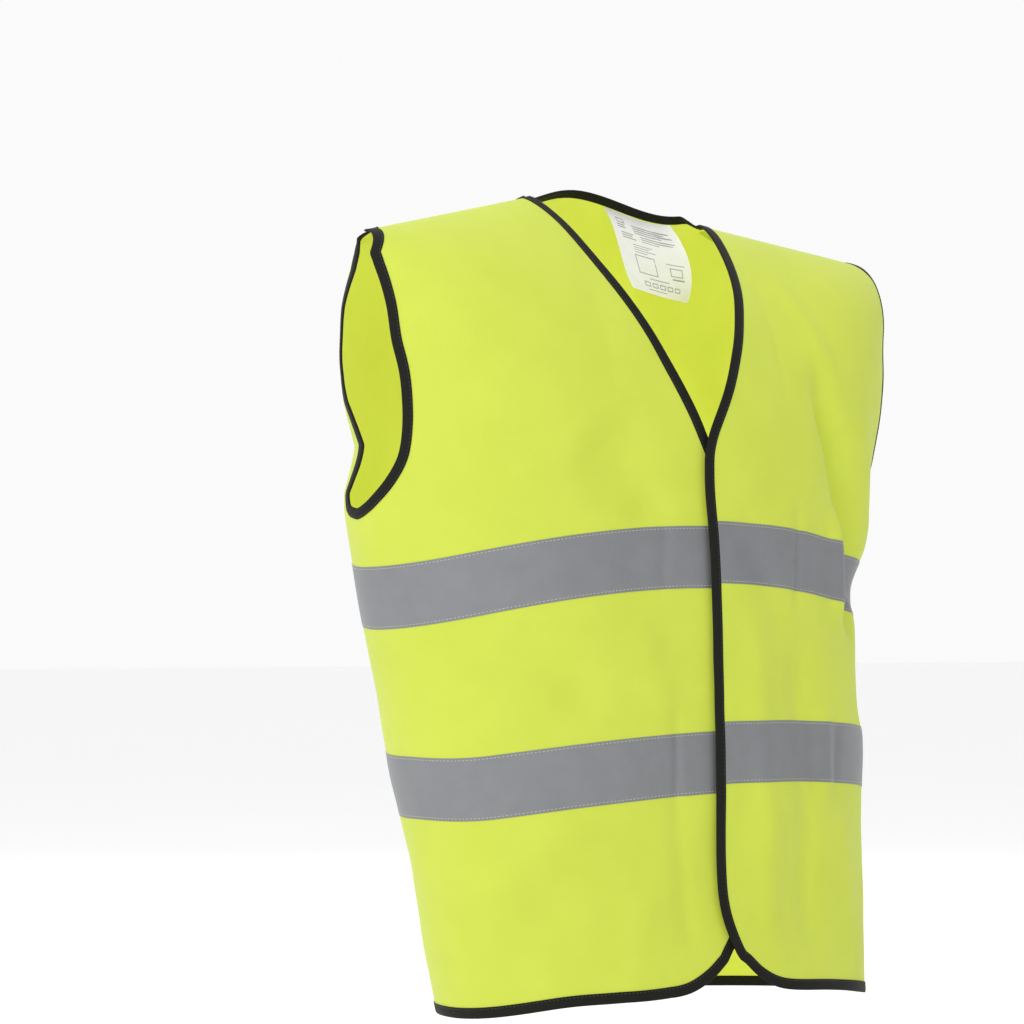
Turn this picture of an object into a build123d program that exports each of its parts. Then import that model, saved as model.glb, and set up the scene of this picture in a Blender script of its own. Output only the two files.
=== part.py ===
from build123d import *
import os
from math import cos, pi, sin, sqrt

# High visibility vest, size L, in the shape it takes on a wearer.  Millimetres.
# +Z is up, the fronts face -Y and the wearer's left is +X.  The origin is midway
# between the two points where the shoulder seams meet the neck.

os.makedirs("parts", exist_ok=True)

# Cloth thicknesses
PANEL_THICKNESS = 0.6
TAPE_THICKNESS = 0.35
BINDING_THICKNESS = 1.6
BINDING_UNDERLAP = 0.5  # how far the binding's inner leg lies inside the panel's inner face
BINDING_WIDTH = 8
BINDING_WRAP = 0.6  # how far the binding passes the panel's raw edge

# Shoulders
NECK_HALF = 86
TIP_HALF = 246
TIP_DROP = 31
NECK_LEAN = 6.5  # the wearer's right neck point stands this much higher, the left lower
NECK_SHARE = 0.316  # the neck point's place across the torso, 0 at the middle, 1 at the side
TIP_SHARE = 0.904

# Torso, as ovals whose size changes with height
SKEW_POWER = 0.909  # a little squarer than an ellipse
UNDERARM_HALF = 246
SHOULDER_EXTRA = 26  # the cloth stands this much wider at shoulder level
SIDE_DEPTH = 16
FRONT_DEPTH = -126
BACK_DEPTH = 136
TAPER_START = -240
FLARE = 22  # the fronts swing forward at the hem
FLARE_START = -560
LEFT_OVER_RIGHT = 5  # the left front lies this far outside the right one

# Back neck: it rises behind the shoulder seams
NECK_RISE = 48
NECK_RISE_SHARE = 0.42
BACK_NECK_DEPTH = 50

# Heights
SHEET_LENGTH = 700
HEM_SIDE = -657
HEM_FRONT = -641
V_BOTTOM = -195
UNDERARM = -252
ARMHOLE_TOP = -27  # where the armhole's two sides would meet, rounded off lower down
LEFT_EDGE = 4  # the closing edge of the left front, x
RIGHT_EDGE = 36  # the hidden edge of the right front, x
LEFT_CORNER = 80  # radii of the fronts' lower corners
RIGHT_CORNER = 90

# Reflective tapes
TAPE_WIDTH = 50
UPPER_TAPE_TOP = -263
UPPER_TAPE_SAG = 37
LOWER_TAPE_TOP = -425
LOWER_TAPE_SAG = 22
TAPE_END_GAP = 0.3

# Fold line of each front: from the neckline to the hem
FOLD_TOP = (40, -110)
FOLD_BOTTOM = (150, -690)
FOLD_GAP = 0.4

# Hook and loop tabs of the closure
TAB_WIDTH = 21
TAB_HEIGHT = 45
TAB_THICKNESS = 1.0
TAB_HEIGHTS = (-370, -520)
HOOK_TAB_X = 26
LOOP_TAB_X = 14

# Seams, as the overlocked bead inside the vest
SEAM_RADIUS = 0.6
SEAM_CLEARANCE = 0.5

# Care label, sewn in under the back neck binding left of the middle
LABEL_WIDTH = 50
LABEL_HEIGHT = 66
LABEL_THICKNESS = 0.3
LABEL_TOP = (50, 34, 1)
LABEL_ACROSS = (50, -23, -9)
LABEL_DOWN = (3, -26, -69)

# Construction
ROWS = 18  # rows of points in a surface
PAST_MIDDLE = 0.25  # each front is made this angle past the middle, then cut
SIDE_REACH = 245
ARM_PLANE = 150
SHOULDER_SEAM_ANGLES = (0.41, 1.02)
FAR = 400


def ease(t):
    t = min(max(t, 0.0), 1.0)
    return t * t * (3 - 2 * t)


def taper(z):
    """Zero above the underarm, then growing smoothly with the depth below it."""
    depth = TAPER_START - z
    return (depth + sqrt(depth * depth + 30 * 30)) / 2


def skin(side, angle, fall, over=0.0):
    """A point of the worn cloth.

    angle runs from -90 degrees at the wearer's right side to +90 at the left,
    fall is the drop below the shoulder line and over moves a front forward.
    """
    share = abs(sin(angle)) ** SKEW_POWER * (1 if angle >= 0 else -1)
    reach = min(max((abs(share) - NECK_SHARE) / (TIP_SHARE - NECK_SHARE), 0.0), 1.2)
    across = min(reach, 1.0)
    lean = -NECK_LEAN * max(-1.0, min(1.0, share / NECK_SHARE)) * (1 - across)
    z = lean - TIP_DROP * reach - fall
    if side == "back" and abs(share) < NECK_RISE_SHARE:
        rise = cos(pi / 2 * share / NECK_RISE_SHARE) ** 2
        z += NECK_RISE * rise * ease(fall / 30)
    turn_height = 185 - 125 * across
    turn_power = 0.8 - 0.3 * across
    turn = (1 - (1 - min(fall / turn_height, 1.0)) ** 2) ** turn_power
    down = taper(z)
    half = UNDERARM_HALF - 0.115 * down + SHOULDER_EXTRA * ease((z + 250) / 130)
    x = 0.045 * down + half * share
    middle = SIDE_DEPTH - 0.105 * down
    if side == "back":
        depth = BACK_DEPTH - 0.105 * down
    else:
        swing = FLARE * ease((FLARE_START - z) / 160)
        depth = FRONT_DEPTH - 0.022 * down - swing - over
    return (x, turn * (middle + (depth - middle) * cos(angle)), z)


def cloth_point(side, angle, fall, lift, over):
    """A point of the worn cloth lifted off it along the cloth's normal."""
    here = Vector(*skin(side, angle, fall, over))
    if fall == 0:
        return here + Vector(0, 0, lift)
    if abs(angle) > pi / 2 - 0.001:
        return here + Vector(lift if angle > 0 else -lift, 0, 0)
    along = Vector(*skin(side, angle + 0.01, fall, over)) - here
    down = Vector(*skin(side, angle, fall + 0.5, over)) - here
    normal = along.cross(down).normalized()
    return here + normal * (lift if side == "back" else -lift)


def shell(side, start, end, inner, outer, over=0.0, columns=14):
    """A layer of the worn form between two angles and two lifts above the cloth."""
    angles = [start + (end - start) * k / (columns - 1) for k in range(columns)]
    falls = [SHEET_LENGTH * (row / (ROWS - 1)) ** 1.6 for row in range(ROWS)]
    faces = []
    for lift in (inner, outer):
        points = [
            [cloth_point(side, angle, fall, lift, over) for angle in angles] for fall in falls
        ]
        faces.append(Face.make_surface_from_array_of_points(points, tol=0.05, min_deg=3))
    inner_face, outer_face = faces
    walls = []
    for edge in inner_face.edges():
        place = edge.center()
        partner = min(outer_face.edges(), key=lambda other: (other.center() - place).length)
        walls.append(Face.make_surface_from_curves(edge, partner))
    return Solid(Shell([inner_face, outer_face, *walls]))


SIGN = {"left": 1, "right": -1}


def front_layer(side, inner, outer):
    """One front's layer, from its side seam to a little past the middle."""
    if side == "left":
        return shell("front", -PAST_MIDDLE, pi / 2, inner, outer, LEFT_OVER_RIGHT)
    return shell("front", -pi / 2, PAST_MIDDLE, inner, outer)


def back_layer(inner, outer):
    return shell("back", -pi / 2, pi / 2, inner, outer, columns=24)


# ---------------------------------------------------------------- outlines


def moved(curve, amount, start=0.0, end=1.0, count=12):
    """Points along a flat curve, moved sideways to its right by an amount."""
    steps = [start + (end - start) * k / (count - 1) for k in range(count)]
    return [curve @ t + (curve % t).rotate(Axis.Z, -90) * amount for t in steps]


def front_outline(side, inset=0.0):
    """The shape of a front in x and z, with its bound edges drawn in by an inset."""
    sign = SIGN[side]
    left = side == "left"
    edge = (LEFT_EDGE if left else RIGHT_EDGE) + sign * inset
    radius = (LEFT_CORNER if left else RIGHT_CORNER) - inset
    hem_front = HEM_FRONT + inset
    hem_side = HEM_SIDE + inset
    neck_end = V_BOTTOM - 20 if left else V_BOTTOM - 85
    neckline = Spline(
        (sign * (NECK_HALF + 4), 40), (sign * NECK_HALF, -sign * NECK_LEAN),
        (sign * 45, -100), (2, V_BOTTOM), (edge - sign * inset, neck_end),
        tangents=[(-sign * 0.05, -1), (0, -1)],
    )
    neck_points = moved(neckline, -sign * inset)
    corner_start = (edge, hem_front + radius)
    hem_start = (edge + sign * radius, hem_front)
    hem_end = (sign * 215, hem_side)
    with BuildSketch(Plane.XZ) as outline:
        with BuildLine():
            Spline(*neck_points)
            Line(neck_points[-1], corner_start)
            RadiusArc(corner_start, hem_start, -sign * radius)
            Spline(hem_start, hem_end, tangents=[(sign, 0), (sign, 0)])
            Polyline(hem_end, (sign * FAR, hem_side), (sign * FAR, 40), neck_points[0])
        make_face()
    return outline.sketch


def back_outline():
    """All of the back above its hem, in x and z."""
    with BuildSketch(Plane.XZ) as outline:
        with Locations((0, (HEM_SIDE + FAR) / 2)):
            Rectangle(2 * FAR, FAR - HEM_SIDE)
    return outline.sketch


def neck_hole(margin=0.0):
    """The back half of the neck opening, seen from above."""
    with BuildSketch() as hole:
        Ellipse(BACK_NECK_DEPTH + margin, NECK_HALF + margin, rotation=-90)
    return hole.sketch


def armhole(side, margin):
    """The armhole, or a margin outside it, in y and z in a plane inside the arm side."""
    edge = Spline(
        (0, ARMHOLE_TOP), (-38, -66), (-51, -120), (-50, -175), (-30, -222),
        (10, UNDERARM), (34, -222), (42, -165), (42, -110), (25, -66), (0, ARMHOLE_TOP),
        tangents=[(-1, -0.6), (-1, 0.6)],
    )
    with BuildSketch(Plane.YZ.offset(SIGN[side] * ARM_PLANE)) as hole:
        with BuildLine():
            Spline(*moved(edge, margin, 0.02, 0.98, 24), periodic=True)
        make_face()
    return hole.sketch


def fold_side(side, moving):
    """The half of a front on one side of its fold line, in x and z."""
    sign = SIGN[side]
    away = -sign if moving else sign
    run = (FOLD_BOTTOM[0] - FOLD_TOP[0]) / (FOLD_TOP[1] - FOLD_BOTTOM[1])
    shift = away * FOLD_GAP / 2
    upper = (sign * (FOLD_TOP[0] - run * 200) + shift, FOLD_TOP[1] + 200)
    lower = (sign * (FOLD_BOTTOM[0] + run * 60) + shift, FOLD_BOTTOM[1] - 60)
    with BuildSketch(Plane.XZ) as half:
        with BuildLine():
            Polyline(
                upper, lower, (away * FAR, lower[1]), (away * FAR, upper[1]), upper
            )
        make_face()
    return half.sketch


def edge_band(side):
    """A strip along a front's bound edges, from just past them to the binding's width."""
    return front_outline(side, -BINDING_WRAP) - front_outline(side, BINDING_WIDTH)


def height_band(top, bottom):
    """A horizontal slice in x and z."""
    with BuildSketch(Plane.XZ) as slice_:
        with Locations((0, (top + bottom) / 2)):
            Rectangle(2 * FAR, top - bottom)
    return slice_.sketch


def tape_strip(top, sag, left_end=FAR, right_end=-FAR):
    """A strip of tape in x and z that sags towards both sides."""
    with BuildSketch(Plane.XZ) as strip:
        with BuildLine():
            upper = ThreePointArc((-SIDE_REACH, top - sag), (0, top), (SIDE_REACH, top - sag))
            lower = ThreePointArc(
                (-SIDE_REACH, top - sag - TAPE_WIDTH),
                (0, top - TAPE_WIDTH),
                (SIDE_REACH, top - sag - TAPE_WIDTH),
            )
            Line(upper @ 0, lower @ 0)
            Line(upper @ 1, lower @ 1)
        make_face()
        with Locations(((left_end + right_end) / 2, top)):
            Rectangle(left_end - right_end, 2 * FAR, mode=Mode.INTERSECT)
    return strip.sketch


# ---------------------------------------------------------------- making pieces


def save(piece, name):
    piece.part.label = name
    export_step(piece.part, f"parts/{name}.step")
    print(name, len(piece.part.solids()), round(piece.part.volume, 1))


def keep(*regions):
    """Cuts the piece being built to every one of the regions."""
    for region in regions:
        extrude(region, amount=FAR, both=True, mode=Mode.INTERSECT)


def arm_binding_space(side):
    """The space of one armhole and its binding: a tapering tube, square at the shoulder."""
    sign = SIGN[side]
    tip = TIP_HALF - BINDING_WIDTH
    with BuildPart() as space:
        extrude(armhole(side, BINDING_WIDTH), amount=sign * FAR)
        with BuildSketch(Plane.XZ):
            with BuildLine():
                Polyline(
                    (sign * tip, 40), (sign * tip, -50), (sign * 190, -100),
                    (sign * 190, -300), (sign * FAR, -300), (sign * FAR, 40),
                    (sign * tip, 40),
                )
            make_face()
        extrude(amount=FAR, both=True, mode=Mode.INTERSECT)
    return space.part


def cut_armhole(side):
    add(ARM_SPACE[side], mode=Mode.SUBTRACT)


def cut_neck():
    extrude(neck_hole(), amount=FAR, both=True, mode=Mode.SUBTRACT)


ARM_SPACE = {side: arm_binding_space(side) for side in SIGN}
OUTLINE = {side: front_outline(side) for side in SIGN}
BAND = {side: edge_band(side) for side in SIGN}
TAPES = {"upper": (UPPER_TAPE_TOP, UPPER_TAPE_SAG), "lower": (LOWER_TAPE_TOP, LOWER_TAPE_SAG)}


# ---------------------------------------------------------------- back

with BuildPart() as back_panel:
    add(back_layer(0, PANEL_THICKNESS))
    keep(back_outline())
    cut_neck()
    cut_armhole("left")
    cut_armhole("right")
save(back_panel, "back_panel")

for level, (top, sag) in TAPES.items():
    with BuildPart() as tape:
        add(back_layer(PANEL_THICKNESS / 2, PANEL_THICKNESS + TAPE_THICKNESS))
        keep(tape_strip(top, sag))
        add(back_panel.part, mode=Mode.SUBTRACT)
    save(tape, f"back_{level}_tape")

with BuildPart() as back_neck_binding:
    add(back_layer(-BINDING_UNDERLAP, BINDING_THICKNESS - BINDING_UNDERLAP))
    extrude(neck_hole(BINDING_WIDTH), amount=FAR, both=True, mode=Mode.INTERSECT)
    extrude(neck_hole(-BINDING_WRAP), amount=FAR, both=True, mode=Mode.SUBTRACT)
    keep(height_band(60, -60))
    add(back_panel.part, mode=Mode.SUBTRACT)
save(back_neck_binding, "back_neck_binding")

with BuildPart() as back_hem_binding:
    add(back_layer(-BINDING_UNDERLAP, BINDING_THICKNESS - BINDING_UNDERLAP))
    keep(height_band(HEM_SIDE + BINDING_WIDTH, HEM_SIDE - BINDING_WRAP))
    add(back_panel.part, mode=Mode.SUBTRACT)
save(back_hem_binding, "back_hem_binding")

# ---------------------------------------------------------------- fronts

for side, sign in SIGN.items():
    panel_layer = front_layer(side, 0, PANEL_THICKNESS)
    tape_layer = front_layer(side, PANEL_THICKNESS / 2, PANEL_THICKNESS + TAPE_THICKNESS)
    binding_layer = front_layer(side, -BINDING_UNDERLAP, BINDING_THICKNESS - BINDING_UNDERLAP)
    fixed = fold_side(side, moving=False)
    moving = fold_side(side, moving=True)

    with BuildPart() as side_panel:
        add(panel_layer)
        keep(OUTLINE[side], fixed)
        cut_armhole(side)
    save(side_panel, f"{side}_side_panel")

    with BuildPart() as front_panel:
        add(panel_layer)
        keep(OUTLINE[side], moving)
    save(front_panel, f"{side}_front_panel")

    edge = LEFT_EDGE if side == "left" else RIGHT_EDGE
    tape_end = edge + sign * (BINDING_WIDTH + TAPE_END_GAP)
    ends = (FAR, tape_end) if side == "left" else (tape_end, -FAR)
    for level, (top, sag) in TAPES.items():
        strip = tape_strip(top, sag, *ends)
        with BuildPart() as side_tape:
            add(tape_layer)
            keep(strip, fixed)
            add(side_panel.part, mode=Mode.SUBTRACT)
        save(side_tape, f"{side}_side_{level}_tape")
        with BuildPart() as front_tape:
            add(tape_layer)
            keep(strip, moving)
            add(front_panel.part, mode=Mode.SUBTRACT)
        save(front_tape, f"{side}_front_{level}_tape")

    with BuildPart() as neck_binding:
        add(binding_layer)
        keep(BAND[side], fixed, height_band(40, V_BOTTOM))
        add(side_panel.part, mode=Mode.SUBTRACT)
    save(neck_binding, f"{side}_neck_binding")

    with BuildPart() as hem_binding:
        add(binding_layer)
        keep(BAND[side], fixed, height_band(HEM_FRONT + 100, HEM_SIDE - 20))
        add(side_panel.part, mode=Mode.SUBTRACT)
    save(hem_binding, f"{side}_hem_binding")

    with BuildPart() as edge_binding:
        add(binding_layer)
        keep(BAND[side], moving)
        add(front_panel.part, mode=Mode.SUBTRACT)
    save(edge_binding, f"{side}_edge_binding")

    tab_x = HOOK_TAB_X if side == "left" else LOOP_TAB_X
    with BuildSketch(Plane.XZ) as tab_shapes:
        with Locations(*[(tab_x, height) for height in TAB_HEIGHTS]):
            Rectangle(TAB_WIDTH, TAB_HEIGHT)
    if side == "left":
        tab_layer = front_layer(side, -TAB_THICKNESS, PANEL_THICKNESS / 2)
    else:
        tab_layer = front_layer(side, PANEL_THICKNESS / 2, PANEL_THICKNESS + TAB_THICKNESS)
    with BuildPart() as tabs:
        add(tab_layer)
        keep(tab_shapes.sketch)
        add(front_panel.part, mode=Mode.SUBTRACT)
    save(tabs, "hook_tabs" if side == "left" else "loop_tabs")

# ---------------------------------------------------------------- armhole bindings

for side, sign in SIGN.items():
    with BuildPart() as front_half:
        add(front_layer(side, -BINDING_UNDERLAP, BINDING_THICKNESS - BINDING_UNDERLAP))
        add(ARM_SPACE[side], mode=Mode.INTERSECT)
        extrude(armhole(side, -BINDING_WRAP), amount=sign * FAR, mode=Mode.SUBTRACT)
    save(front_half, f"{side}_armhole_binding_front")
    with BuildPart() as back_half:
        add(back_layer(-BINDING_UNDERLAP, BINDING_THICKNESS - BINDING_UNDERLAP))
        add(ARM_SPACE[side], mode=Mode.INTERSECT)
        extrude(armhole(side, -BINDING_WRAP), amount=sign * FAR, mode=Mode.SUBTRACT)
    save(back_half, f"{side}_armhole_binding_back")

# ---------------------------------------------------------------- seams

SEAM_DEPTH = -(SEAM_RADIUS + SEAM_CLEARANCE)
for side, sign in SIGN.items():
    seam_points = [
        cloth_point("back", sign * pi / 2, fall, SEAM_DEPTH, 0) for fall in range(230, 600, 60)
    ]
    with BuildPart() as side_seam:
        with BuildLine() as seam_path:
            Spline(*seam_points)
        with BuildSketch(Plane(origin=seam_path.line @ 0, z_dir=seam_path.line % 0)):
            Circle(SEAM_RADIUS)
        sweep()
    save(side_seam, f"{side}_side_seam")

    shoulder_ends = [
        cloth_point("back", sign * angle, 0, SEAM_DEPTH, 0) for angle in SHOULDER_SEAM_ANGLES
    ]
    with BuildPart() as shoulder_seam:
        with BuildLine() as seam_path:
            Line(*shoulder_ends)
        with BuildSketch(Plane(origin=seam_path.line @ 0, z_dir=seam_path.line % 0)):
            Circle(SEAM_RADIUS)
        sweep()
    save(shoulder_seam, f"{side}_shoulder_seam")

# ---------------------------------------------------------------- care label

across = Vector(*LABEL_ACROSS)
facing = Vector(*LABEL_DOWN).cross(across)
label_plane = Plane(origin=LABEL_TOP, x_dir=across, z_dir=facing)
with BuildPart() as care_label:
    with BuildSketch(label_plane):
        Rectangle(LABEL_WIDTH, LABEL_HEIGHT, align=(Align.CENTER, Align.MAX))
    extrude(amount=LABEL_THICKNESS)
save(care_label, "care_label")
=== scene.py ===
from math import pi, radians, sin, cos

import bmesh
import bpy
import numpy as np
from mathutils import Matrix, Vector
from mathutils.bvhtree import BVHTree


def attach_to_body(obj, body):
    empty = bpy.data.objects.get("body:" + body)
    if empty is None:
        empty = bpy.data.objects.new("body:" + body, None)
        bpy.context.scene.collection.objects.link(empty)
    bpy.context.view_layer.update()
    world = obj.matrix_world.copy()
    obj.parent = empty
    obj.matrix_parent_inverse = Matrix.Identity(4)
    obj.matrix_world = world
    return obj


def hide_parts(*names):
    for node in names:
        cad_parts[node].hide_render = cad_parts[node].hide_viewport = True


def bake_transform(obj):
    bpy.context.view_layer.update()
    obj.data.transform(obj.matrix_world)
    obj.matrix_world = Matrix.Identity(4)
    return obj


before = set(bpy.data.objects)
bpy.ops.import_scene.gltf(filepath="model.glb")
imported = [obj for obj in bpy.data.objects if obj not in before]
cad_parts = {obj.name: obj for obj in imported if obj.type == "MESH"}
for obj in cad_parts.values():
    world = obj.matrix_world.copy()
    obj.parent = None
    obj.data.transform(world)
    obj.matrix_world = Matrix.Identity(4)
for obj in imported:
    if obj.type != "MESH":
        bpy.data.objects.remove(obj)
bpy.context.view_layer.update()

# Lengths below are millimetres, as in the part's source, and MM turns them into Blender's metres.
# +Z is up, the fronts face -Y and the wearer's left is +X.
MM = 0.001
random = np.random.default_rng(7)

# ---------- the worn form

NECK_HALF = 86
TIP_DROP = 31
NECK_LEAN = 6.5
NECK_SHARE = 0.316
TIP_SHARE = 0.904
TIP_SHARES = {"left": 0.904, "right": 0.896}  # the right shoulder is a little drawn in
SKEW_POWER = 0.909
UNDERARM_HALF = 246
SHOULDER_EXTRA = 26
SIDE_DEPTH = 16
FRONT_DEPTH = -126
BACK_DEPTH = 136
TAPER_START = -240
TAPER_ROUND = 30  # how softly the taper starts
LEAN = 0.045  # how far the middle moves to the wearer's left, for each mm of taper
WIDTH_LOSS = 0.115  # how much each of these shrinks for each mm of taper
DEPTH_LOSS = 0.105
FRONT_LOSS = 0.022
FLARE = 22
FLARE_START = -560
OVER = {"left": 5, "right": 0, "back": 0}  # the left front lies over the right one
NECK_RISE = 50  # the back neck stands this far above the shoulder line
NECK_RISE_SHARE = {"left": 0.48, "right": 0.43}  # the share of the width at which it ends
TURN_FALL = 185  # the form reaches its full depth this far below the neck
TURN_LESS = 125  # and this much sooner at the shoulder tip
BACK_NECK_DEPTH = 50
UNDERARM = -252
HEM_SIDE = -657
SIGN = {"left": 1, "right": -1}

# Cloth thicknesses, as heights above the panels' inner face
PANEL_TOP = 0.6
TAPE_TOP = 0.98
TAPE_WIDTH = 50


def ease(t):
    t = np.clip(t, 0.0, 1.0)
    return t * t * (3 - 2 * t)


def taper(z):
    """Zero above the underarm, then growing smoothly with the depth below it."""
    depth = TAPER_START - z
    return (depth + np.sqrt(depth * depth + TAPER_ROUND * TAPER_ROUND)) / 2


def share_of(angle):
    return np.abs(np.sin(angle)) ** SKEW_POWER * np.sign(angle)


def reach_of(share):
    """0 at the neck point, 1 at the shoulder tip."""
    return np.clip((np.abs(share) - NECK_SHARE) / (TIP_SHARE - NECK_SHARE), 0.0, 1.2)


def ridge_of(share):
    """Height of the shoulder line."""
    reach = reach_of(share)
    lean = -NECK_LEAN * np.clip(share / NECK_SHARE, -1, 1) * (1 - np.minimum(reach, 1))
    return lean - TIP_DROP * reach


def neck_rise(share):
    """1 at the middle of the back neck, falling to 0 along each shoulder."""
    ends = np.where(np.asarray(share) < 0, NECK_RISE_SHARE["right"], NECK_RISE_SHARE["left"])
    return np.cos(pi / 2 * np.clip(share / ends, -1, 1)) ** 2


def half_width(z):
    return UNDERARM_HALF - WIDTH_LOSS * taper(z) + SHOULDER_EXTRA * ease((z + 250) / 130)


def skin(panel, angle, fall):
    """Points of the smooth worn form. Fall is the drop below the shoulder line."""
    share = share_of(angle)
    across = np.minimum(reach_of(share), 1.0)
    z = ridge_of(share) - fall
    if panel == "back":
        z = z + NECK_RISE * neck_rise(share) * ease(fall / 9)
    steep = np.clip(fall / (TURN_FALL - TURN_LESS * across), 0, 1)
    turn = (1 - (1 - steep) ** 2) ** (0.8 - 0.3 * across)
    down = taper(z)
    x = LEAN * down + half_width(z) * share
    middle = SIDE_DEPTH - DEPTH_LOSS * down
    if panel == "back":
        depth = BACK_DEPTH - DEPTH_LOSS * down
    else:
        flare = FLARE * ease((FLARE_START - z) / 160)
        depth = FRONT_DEPTH - FRONT_LOSS * down - flare - OVER[panel]
    y = turn * (middle + (depth - middle) * np.cos(angle))
    return np.stack([x, y, z], -1)


# ---------- folds

def crease(x, z, start, end, width, depth, fade=0.25):
    """A soft ridge (depth above 0) or valley along a line from start to end, in x and z."""
    run = np.array(end, float) - np.array(start, float)
    length = np.hypot(*run)
    along = ((x - start[0]) * run[0] + (z - start[1]) * run[1]) / length ** 2
    beside = ((x - start[0]) * run[1] - (z - start[1]) * run[0]) / length
    ends = ease(along / fade) * ease((1 - along) / fade)
    return depth * ends * np.exp(-(beside / width) ** 2)


FOLDS = {
    "front": [
        ((102, -25), (165, -200), 9, 2.4),
        ((122, -120), (212, -345), 14, -17),
        ((175, -150), (228, -290), 18, 5),
        ((96, -235), (95, -340), 5, -2.6),
        ((148, -240), (154, -350), 9, 6),
        ((30, -250), (85, -370), 16, -2.8),
        ((46, -330), (58, -640), 14, 4.4),
        ((96, -330), (104, -640), 16, -5.4),
        ((112, -405), (116, -495), 6, -1.8),
        ((128, -405), (132, -495), 6, 1.8),
        ((146, -405), (144, -495), 6, -1.8),
        ((20, -520), (150, -480), 18, 2.2),
        ((150, -480), (170, -655), 18, 3.0),
        ((228, -275), (226, -440), 26, -11),
        ((172, -235), (180, -365), 10, -9),
        ((-205, -300), (-212, -420), 20, 2.5),
        ((-212, -115), (-150, -140), 10, 1.6),
        ((-110, -185), (-40, -270), 22, -6.0),
        ((-150, -160), (-70, -215), 16, 1.5),
        ((-39, -255), (-42, -330), 5.0, -1.0),
        ((-31, -400), (-31, -495), 4, -2.0),
        ((-34, -460), (-22, -620), 9, -2.6),
        ((-64, -330), (-40, -430), 16, 3.0),
        ((-170, -345), (-90, -415), 20, -5.0),
        ((-190, -575), (-110, -490), 18, 5.0),
        ((-175, -655), (-120, -545), 16, -3.0),
        ((-78, -655), (-56, -540), 15, 3.0),
    ],
    "back": [
        ((-160, -60), (-90, -220), 22, 2.5),
        ((160, -60), (90, -220), 22, 2.5),
        ((-190, -200), (-60, -300), 18, -2.5),
        ((190, -200), (60, -300), 18, -2.5),
        ((-60, -330), (-80, -640), 26, 4.0),
        ((70, -330), (85, -640), 24, 3.5),
        ((0, -300), (5, -640), 30, -4.0),
        ((150, -380), (140, -640), 20, -3.0),
        ((-150, -380), (-130, -640), 20, -3.0),
    ],
}


def ripple(x, z, seed):
    """Gentle unevenness, made of a few long waves."""
    waves = np.random.default_rng(seed)
    total = np.zeros(np.broadcast(x, z).shape)
    for length, height in ((190, 1.1), (120, 0.7), (70, 0.35), (38, 0.14)):
        for _ in range(3):
            turn, phase = waves.uniform(0, 2 * pi, 2)
            total += height * np.sin(2 * pi * (x * cos(turn) + z * sin(turn)) / length + phase) / 1.7
    return total


# How far each armhole's back edge is drawn in towards the body, by height
DRAWN_HEIGHTS = (-251, -238, -217, -200, -165, -143, -108, -88, -60, -46, -38, -28)
DRAWN_IN = {
    "right": (0, 2, 13, 21, 20, 23, 25, 26, 29, 28, 26, 0),
    "left": (0, 2, 10, 14, 14, 13, 13, 14, 14, 10, 5, 0),
}


def drawn_in(angle, z):
    """The back's armhole edges turn in where no arm holds them out."""
    near = ease((np.abs(angle) - 0.35) / 0.65)
    right, left = (np.interp(z, DRAWN_HEIGHTS, DRAWN_IN[side]) for side in ("right", "left"))
    return near * np.where(angle < 0, right, left)


def cloth(panel, angle, fall):
    """Points of the worn cloth, folds included."""
    point = skin(panel, angle, fall)
    x, z = point[..., 0], point[..., 2]
    half = "back" if panel == "back" else "front"
    push = ripple(x, z, len(half))
    for fold in FOLDS[half]:
        push = push + crease(x, z, *fold)
    push = push * ease(fall / 70) * ease((pi / 2 - np.abs(angle)) / 0.35)
    if panel == "back":
        point[..., 0] -= np.sign(angle) * drawn_in(angle, z)
    outward = np.cos(angle) * (1 if panel == "back" else -1)
    point[..., 0] += push * np.sin(angle)
    point[..., 1] += push * outward
    return point


def unit(vectors):
    return vectors / np.linalg.norm(vectors, axis=-1, keepdims=True)


def lifted(panel, angle, fall, lift):
    """Points above the cloth by a lift along its normal."""
    angle, fall = np.broadcast_arrays(np.asarray(angle, float), np.asarray(fall, float))
    here = cloth(panel, angle, fall)
    along = cloth(panel, angle + 0.004, fall) - cloth(panel, angle - 0.004, fall)
    down = cloth(panel, angle, fall + 0.3) - cloth(panel, angle, np.maximum(fall - 0.3, 0))
    normal = unit(np.cross(along, down)) * (1 if panel == "back" else -1)
    return here + normal * np.asarray(lift)[..., None]


# ---------- curves on the form

def spaced(points, count):
    """A smooth curve through points, sampled evenly along its length."""
    points = np.array(points, float)
    padded = np.vstack([2 * points[0] - points[1], points, 2 * points[-1] - points[-2]])
    t = np.linspace(0, 1, 24, endpoint=False)[:, None]
    dense = []
    for a, b, c, d in zip(padded, padded[1:], padded[2:], padded[3:]):
        square, cube = 2 * a - 5 * b + 4 * c - d, 3 * b - a - 3 * c + d
        dense.append(0.5 * (2 * b + (c - a) * t + square * t ** 2 + cube * t ** 3))
    return evenly(np.vstack([*dense, points[-1:]]), count)


def distances(line):
    """How far along a line each of its points is."""
    steps = np.linalg.norm(np.diff(line, axis=0), axis=1)
    return np.concatenate([[0], np.cumsum(steps)])


def evenly(line, count):
    """The same line with its points evenly spaced."""
    gone = distances(line)
    wanted = np.linspace(0, gone[-1], count)
    return np.stack([np.interp(wanted, gone, line[:, k]) for k in range(line.shape[1])], -1)


def front_place(x, z):
    """(angle, fall) of a point of a front, from its x and z."""
    share = (x - LEAN * taper(z)) / half_width(z)
    angle = np.arcsin(np.clip(np.abs(share), 0, 1) ** (1 / SKEW_POWER)) * np.sign(share)
    return angle, np.maximum(ridge_of(share_of(angle)) - z, 0)


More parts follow.
